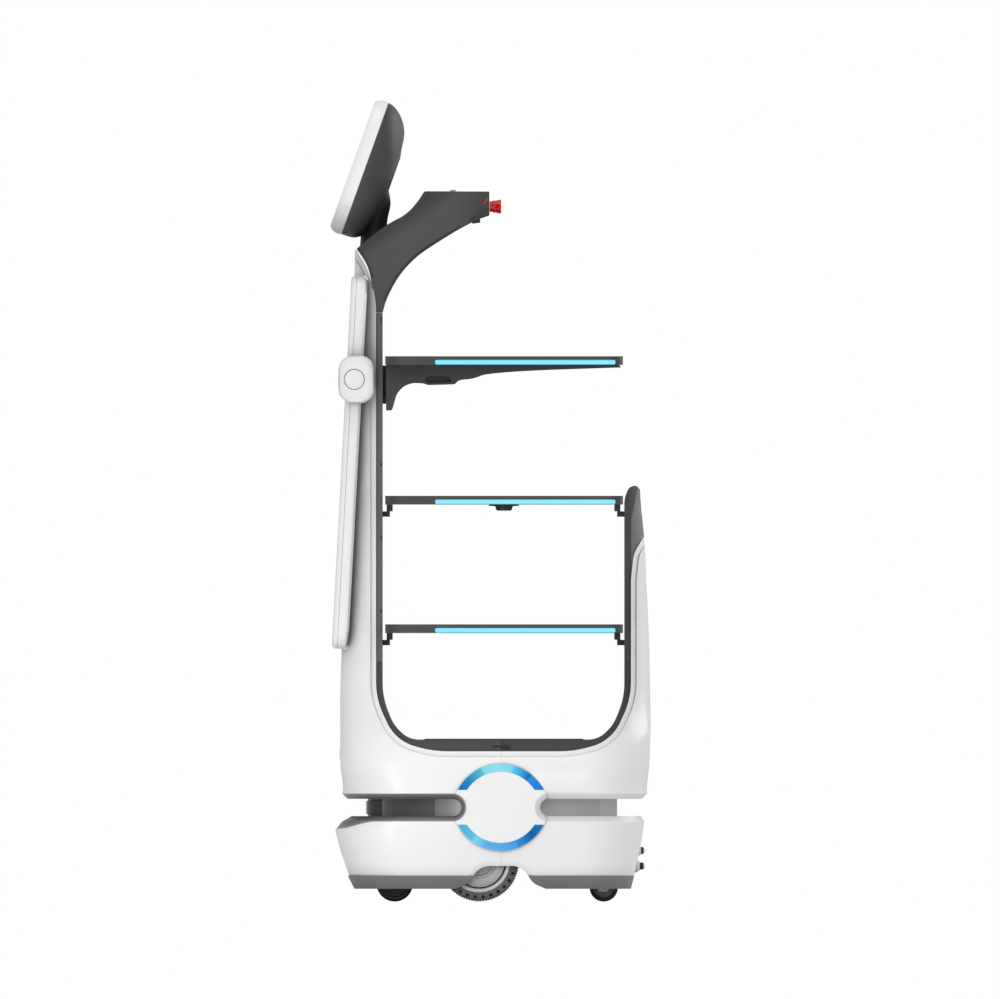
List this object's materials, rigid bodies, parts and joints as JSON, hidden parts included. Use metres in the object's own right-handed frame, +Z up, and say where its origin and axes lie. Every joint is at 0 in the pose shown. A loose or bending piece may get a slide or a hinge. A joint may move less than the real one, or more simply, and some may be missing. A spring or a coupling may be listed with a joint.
{
  "type": "tray-carrying delivery robot",
  "caption": "Indoor delivery robot on wheels with open tray bays between a front column and a rear post, a leaning head screen and a tall front display.",
  "frame": {"origin": "on the floor under the middle of the whole robot", "axes": "+X forward, the side of both screens; +Y to the robot's left; +Z up"},
  "size_m": [0.5769, 0.5242, 1.4423],
  "materials": {
    "white_shell": "moulded white ABS shells with a satin clear coat",
    "dark_plastic": "dark grey moulded plastic with a fine matt texture",
    "core_grey": "grey moulded plastic inside the sensor slots",
    "trim_grey": "grey soft-touch bumper strip",
    "scanner_black": "black infrared window of the laser scanner",
    "screen_glass": "black cover glass of a switched-off screen",
    "tray_light": "lit cyan light strip behind a frosted cover",
    "blue_light": "lit blue arcs behind a frosted cover",
    "deck_rubber": "dark rubber anti-slip mat",
    "peg_steel": "black powder-coated steel",
    "chassis_steel": "black powder-coated steel plate",
    "battery_case": "black battery case",
    "estop_red": "red gloss mushroom button",
    "contact_ring": "black insulating ring",
    "contact_metal": "plated charging contact",
    "tyre_rubber": "dark grey solid rubber tyre with side holes",
    "hub_metal": "turned and painted aluminium hub",
    "fork_steel": "zinc-plated pressed steel",
    "castor_rubber": "dark rubber tread on a grey plastic centre"
  },
  "bodies": {
    "base": {"battery_pack": "battery_case", "cameras": "dark_plastic", "castor_mounts": "peg_steel", "charge_bosses": "white_shell", "charge_rings": "contact_ring", "charge_tips": "contact_metal", "chassis_plate": "chassis_steel", "clip_caps": "white_shell", "deck_liner": "dark_plastic", "deck_mat": "deck_rubber", "display_back": "white_shell", "display_frame": "white_shell", "display_glass": "screen_glass", "drive_brackets": "peg_steel", "estop_button": "estop_red", "front_bumper": "trim_grey", "front_core": "core_grey", "front_liner": "dark_plastic", "front_shell": "white_shell", "front_skirt": "white_shell", "head_back": "dark_plastic", "head_glass": "screen_glass", "head_rim": "white_shell", "lidar": "scanner_black", "light_arcs": "blue_light", "neck": "dark_plastic", "rear_bumper": "trim_grey", "rear_core": "core_grey", "rear_liner": "dark_plastic", "rear_shell": "white_shell", "rear_skirt": "white_shell", "side_clips": "white_shell", "side_discs": "white_shell", "top_arm": "dark_plastic", "tray_1": "dark_plastic", "tray_1_bracket": "dark_plastic", "tray_2": "dark_plastic", "tray_3": "dark_plastic", "tray_lights": "tray_light", "tray_pegs": "peg_steel"},
    "drive_wheel_left": {"drive_tyre_left": "tyre_rubber", "drive_hub_left": "hub_metal"},
    "drive_wheel_right": {"drive_tyre_right": "tyre_rubber", "drive_hub_right": "hub_metal"},
    "castor_swivel_front_left": {"castor_fork_front_left": "fork_steel"},
    "castor_roller_front_left": {"castor_wheel_front_left": "castor_rubber"},
    "castor_swivel_front_right": {"castor_fork_front_right": "fork_steel"},
    "castor_roller_front_right": {"castor_wheel_front_right": "castor_rubber"},
    "castor_swivel_rear_left": {"castor_fork_rear_left": "fork_steel"},
    "castor_roller_rear_left": {"castor_wheel_rear_left": "castor_rubber"},
    "castor_swivel_rear_right": {"castor_fork_rear_right": "fork_steel"},
    "castor_roller_rear_right": {"castor_wheel_rear_right": "castor_rubber"}
  },
  "joints": [
    {"name": "drive_wheel_left_spin", "type": "hinge", "parent": "base", "child": "drive_wheel_left", "pos_m": [0.0203, 0.208, 0.0718], "axis": [0, 1, 0], "continuous": true},
    {"name": "drive_wheel_right_spin", "type": "hinge", "parent": "base", "child": "drive_wheel_right", "pos_m": [0.0203, -0.208, 0.0718], "axis": [0, 1, 0], "continuous": true},
    {"name": "castor_front_left_swivel", "type": "hinge", "parent": "base", "child": "castor_swivel_front_left", "pos_m": [0.1864, 0.125, 0.09], "axis": [0, 0, 1], "continuous": true},
    {"name": "castor_front_left_roll", "type": "hinge", "parent": "castor_swivel_front_left", "child": "castor_roller_front_left", "pos_m": [0.1724, 0.125, 0.0331], "axis": [0, 1, 0], "continuous": true},
    {"name": "castor_front_right_swivel", "type": "hinge", "parent": "base", "child": "castor_swivel_front_right", "pos_m": [0.1864, -0.125, 0.09], "axis": [0, 0, 1], "continuous": true},
    {"name": "castor_front_right_roll", "type": "hinge", "parent": "castor_swivel_front_right", "child": "castor_roller_front_right", "pos_m": [0.1724, -0.125, 0.0331], "axis": [0, 1, 0], "continuous": true},
    {"name": "castor_rear_left_swivel", "type": "hinge", "parent": "base", "child": "castor_swivel_rear_left", "pos_m": [-0.1879, 0.125, 0.09], "axis": [0, 0, 1], "continuous": true},
    {"name": "castor_rear_left_roll", "type": "hinge", "parent": "castor_swivel_rear_left", "child": "castor_roller_rear_left", "pos_m": [-0.2039, 0.125, 0.0256], "axis": [0, 1, 0], "continuous": true},
    {"name": "castor_rear_right_swivel", "type": "hinge", "parent": "base", "child": "castor_swivel_rear_right", "pos_m": [-0.1879, -0.125, 0.09], "axis": [0, 0, 1], "continuous": true},
    {"name": "castor_rear_right_roll", "type": "hinge", "parent": "castor_swivel_rear_right", "child": "castor_roller_rear_right", "pos_m": [-0.2039, -0.125, 0.0256], "axis": [0, 1, 0], "continuous": true}
  ]
}
